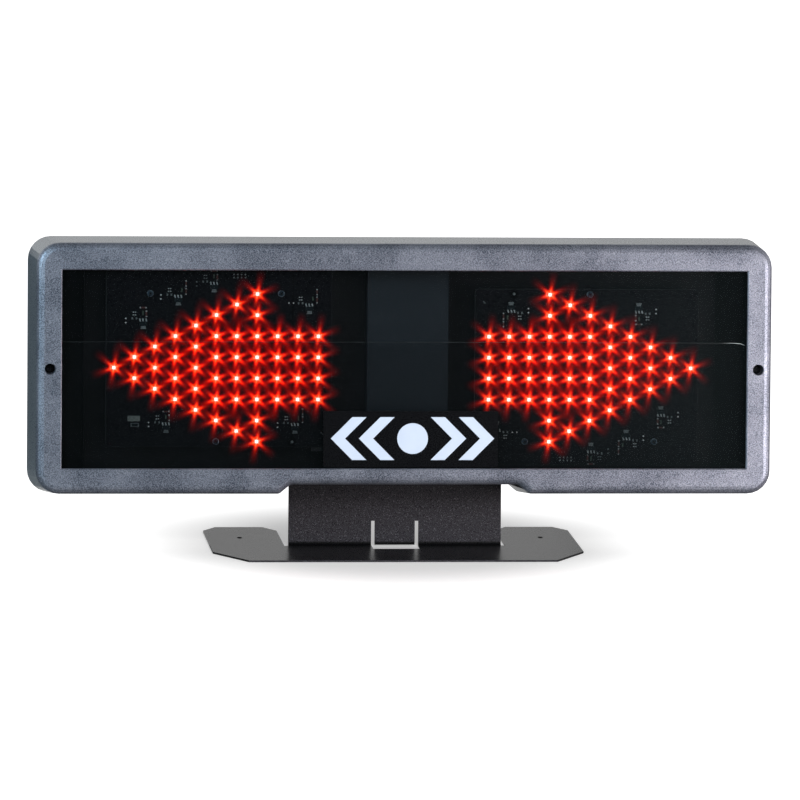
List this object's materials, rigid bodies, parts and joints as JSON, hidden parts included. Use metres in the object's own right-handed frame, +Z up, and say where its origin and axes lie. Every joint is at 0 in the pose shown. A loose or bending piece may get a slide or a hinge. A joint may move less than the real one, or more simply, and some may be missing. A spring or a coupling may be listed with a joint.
{
  "type": "possession arrow indicator",
  "caption": "Tabletop possession arrow indicator: rounded window case with two red LED arrows, on a bent sheet stand, with a selector rocker behind.",
  "frame": {"origin": "middle of the stand's footprint, on the surface it rests on", "axes": "+X to the viewer's right, front faces -Y, +Z up"},
  "size_m": [0.4638, 0.122, 0.1971],
  "materials": {
    "bezel_paint": "fine-textured blue-grey metallic paint",
    "lens_smoke": "clear smoked sheet",
    "foam": "black foam tape",
    "legend_black": "black plate with a plain printed mark",
    "case_paint": "satin grey paint",
    "board_mask": "dark circuit board with small LEDs",
    "black_steel": "blackened steel",
    "cover_grey": "blue-grey moulded cover",
    "black_plastic": "moulded black",
    "ribbon_grey": "flat cable",
    "plated_steel": "zinc-plated",
    "lead_black": "insulated lead",
    "stand_coat": "fine-textured black coat"
  },
  "bodies": {
    "housing": {"bezel_screw_left": "black_steel", "bezel_screw_right": "black_steel", "board_screw_1": "plated_steel", "board_screw_2": "plated_steel", "board_screw_3": "plated_steel", "board_screw_4": "plated_steel", "board_screw_5": "plated_steel", "board_screw_6": "plated_steel", "board_standoff_1": "plated_steel", "board_standoff_2": "plated_steel", "board_standoff_3": "plated_steel", "board_standoff_4": "plated_steel", "board_standoff_5": "plated_steel", "board_standoff_6": "plated_steel", "case_shell": "case_paint", "chassis_plate": "black_steel", "chassis_screw_1": "plated_steel", "chassis_screw_2": "plated_steel", "chassis_screw_3": "plated_steel", "chassis_screw_4": "plated_steel", "control_board": "board_mask", "control_cover": "cover_grey", "control_standoff_high": "black_plastic", "control_standoff_low": "black_plastic", "cover_screw_1": "black_steel", "cover_screw_2": "black_steel", "cover_screw_3": "black_steel", "cover_screw_4": "black_steel", "cover_screw_5": "black_steel", "cover_screw_6": "black_steel", "front_bezel": "bezel_paint", "inlet_nut": "plated_steel", "left_led_board": "board_mask", "left_ribbon_cable": "ribbon_grey", "legend_plate": "legend_black", "lens_tape_bottom": "foam", "lens_tape_top": "foam", "power_inlet": "black_plastic", "power_lead": "lead_black", "rear_cover": "case_paint", "right_led_board": "board_mask", "right_ribbon_cable": "ribbon_grey", "selector_body": "black_plastic", "selector_lead": "lead_black", "stand_bracket": "stand_coat", "stand_nut_1": "plated_steel", "stand_nut_2": "plated_steel", "stand_nut_3": "plated_steel", "stand_nut_4": "plated_steel", "stand_screw_1": "black_steel", "stand_screw_2": "black_steel", "stand_screw_3": "black_steel", "stand_screw_4": "black_steel", "window_lens": "lens_smoke"},
    "rocker": {"selector_rocker": "black_plastic"}
  },
  "joints": [
    {"name": "selector", "type": "hinge", "parent": "housing", "child": "rocker", "pos_m": [0, 0.00722, 0.15575], "axis": [0, 0.0872, 0.9962], "range_deg": [-10, 10]}
  ]
}
